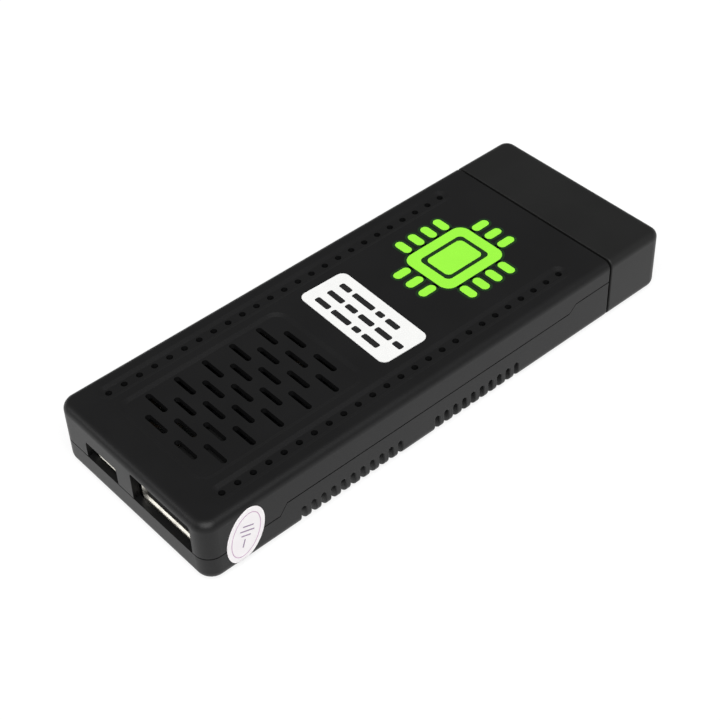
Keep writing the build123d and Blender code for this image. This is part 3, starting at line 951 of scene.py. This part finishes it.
@dataclass(frozen=True)
class Softbox:
    """One square soft lamp, with its place and size in metres and its power in watts."""

    name: str
    place: tuple[float, float, float]
    size: float
    power: float

    def hang(self) -> None:
        """Hang the lamp so that it faces the stick."""
        bpy.ops.object.light_add(type="AREA", location=self.place)
        lamp = bpy.context.object
        lamp.name = self.name
        lamp.data.shape, lamp.data.size, lamp.data.energy = "SQUARE", self.size, self.power
        face_stick(lamp, self.place)


@dataclass
class Studio:
    """Pale floor, soft lights and the camera, in metres but for the camera's own sizes."""

    WHITE: ClassVar[Colour] = (1.0, 1.0, 1.0)
    WHITE_RAYS: ClassVar[tuple[str, ...]] = (
        "Is Camera Ray", "Is Glossy Ray", "Is Transmission Ray")

    floor_size: float = 3.0
    floor_drop: float = 0.00002
    floor_colour: Colour = (0.58, 0.58, 0.58)
    floor_roughness: float = 0.9
    white_share: float = 0.62
    white_strength: float = 1.27
    world_strength: float = 0.1
    pale_strength: float = 0.24
    key_place: tuple[float, float, float] = (-0.3, -0.45, 0.84)
    key_strength: float = 3.6
    key_spread: float = 60.0
    softboxes: tuple[Softbox, ...] = (
        Softbox("ports_softbox", (-0.62, 0.5, 0.42), 0.4, 1.1),
        Softbox("front_softbox", (0.75, -0.6, 0.35), 0.6, 0.5))
    # The camera's place in millimetres, its bearings in degrees and its lens in millimetres.
    eye: tuple[float, float, float] = (-123.29, -143.97, 180.34)
    azimuth: float = -39.8561
    elevation: float = 43.3792
    roll: float = -2.5170
    lens: float = 82.407
    sensor: float = 36.0
    nearest: float = 0.01

    def white_to_rays(self, shader: Shader) -> None:
        """Blend the floor's surface with plain white, for the camera and in reflections.

        Args:
            shader: The floor's shader.
        """
        rays = [shader.node("ShaderNodeLightPath", output=name) for name in self.WHITE_RAYS]
        values = {"Color": self.WHITE, "Strength": self.white_strength}
        white = shader.node("ShaderNodeEmission", values=values)
        surface = Value(shader, shader.surface.outputs[0])
        factor = self.white_share * (rays[0] + rays[1] + rays[2])
        mixed = shader.node("ShaderNodeMixShader", values={0: factor, 1: surface, 2: white})
        shader.tree.links.new(mixed.socket, shader.output.inputs["Surface"])

    def floor(self) -> None:
        """Lay the floor under the stick."""
        bpy.ops.object.select_all(action="DESELECT")
        bpy.ops.mesh.primitive_plane_add(size=self.floor_size,
                                         location=(0, 0, -self.floor_drop))
        floor = bpy.context.object
        floor.name = "floor"
        shader = Shader("floor")
        shader.finish(Base_Color=self.floor_colour, Roughness=self.floor_roughness)
        self.white_to_rays(shader)
        floor.data.materials.append(shader.material)

    def world(self) -> None:
        """Faint even light, white for the camera and pale grey in reflections."""
        world = bpy.data.worlds.new("studio")
        world.use_nodes = True
        bpy.context.scene.world = world
        nodes, links = world.node_tree.nodes, world.node_tree.links
        shade = background = nodes["Background"]
        for level, name in ((self.pale_strength, "Is Transmission Ray"),
                            (self.pale_strength, "Is Glossy Ray"), (1.0, "Is Camera Ray")):
            bright = nodes.new("ShaderNodeBackground")
            bright.inputs["Color"].default_value = (*self.WHITE, 1.0)
            bright.inputs["Strength"].default_value = level
            path, mix = nodes.new("ShaderNodeLightPath"), nodes.new("ShaderNodeMixShader")
            links.new(path.outputs[name], mix.inputs[0])
            links.new(shade.outputs[0], mix.inputs[1])
            links.new(bright.outputs[0], mix.inputs[2])
            shade = mix
        background.inputs["Color"].default_value = (*self.WHITE, 1.0)
        background.inputs["Strength"].default_value = self.world_strength
        links.new(shade.outputs[0], nodes["World Output"].inputs["Surface"])

    def sun(self) -> None:
        """Set the broad main light, over the camera's shoulder."""
        bpy.ops.object.light_add(type="SUN", location=self.key_place)
        lamp = bpy.context.object
        lamp.name = "key_light"
        lamp.data.energy, lamp.data.angle = self.key_strength, math.radians(self.key_spread)
        face_stick(lamp, self.key_place)

    def camera(self) -> None:
        """Set the camera from the bearings that were fitted to the photograph."""
        turn, rise = math.radians(self.azimuth), math.radians(self.elevation)
        back = Vector((math.sin(turn) * math.cos(rise), -math.cos(turn) * math.cos(rise),
                       math.sin(rise)))
        right = Vector((math.cos(turn), math.sin(turn), 0))
        up = back.cross(right)
        tilt = math.radians(self.roll)
        level = math.cos(tilt) * right + math.sin(tilt) * up
        crown = math.cos(tilt) * up - math.sin(tilt) * right
        bpy.ops.object.camera_add()
        camera = bpy.context.object
        frame = Matrix((level, crown, back)).transposed().to_4x4()
        frame.translation = Vector(self.eye) * MM
        camera.matrix_world = frame
        camera.data.sensor_width = self.sensor
        camera.data.lens = self.lens
        camera.data.clip_start = self.nearest
        bpy.context.scene.camera = camera

    def build(self) -> None:
        """Set up the whole studio."""
        self.floor()
        self.world()
        self.sun()
        for softbox in self.softboxes:
            softbox.hang()
        self.camera()
        bpy.context.scene.view_settings.view_transform = "Standard"


def main() -> None:
    """Build the sub-assemblies in order."""
    logging.basicConfig(level=logging.INFO, format="%(name)s: %(message)s")
    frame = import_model()
    Housing().build(frame["nodes"])
    label_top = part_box("label_sticker")[1].z / MM
    ChipEmblem().build(label_top - STICKER_THICKNESS)
    LabelPrint().build(label_top)
    SealPrint().build(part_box("seal_sticker")[0].y / MM)
    Studio().build()


if __name__ == "__main__":
    main()
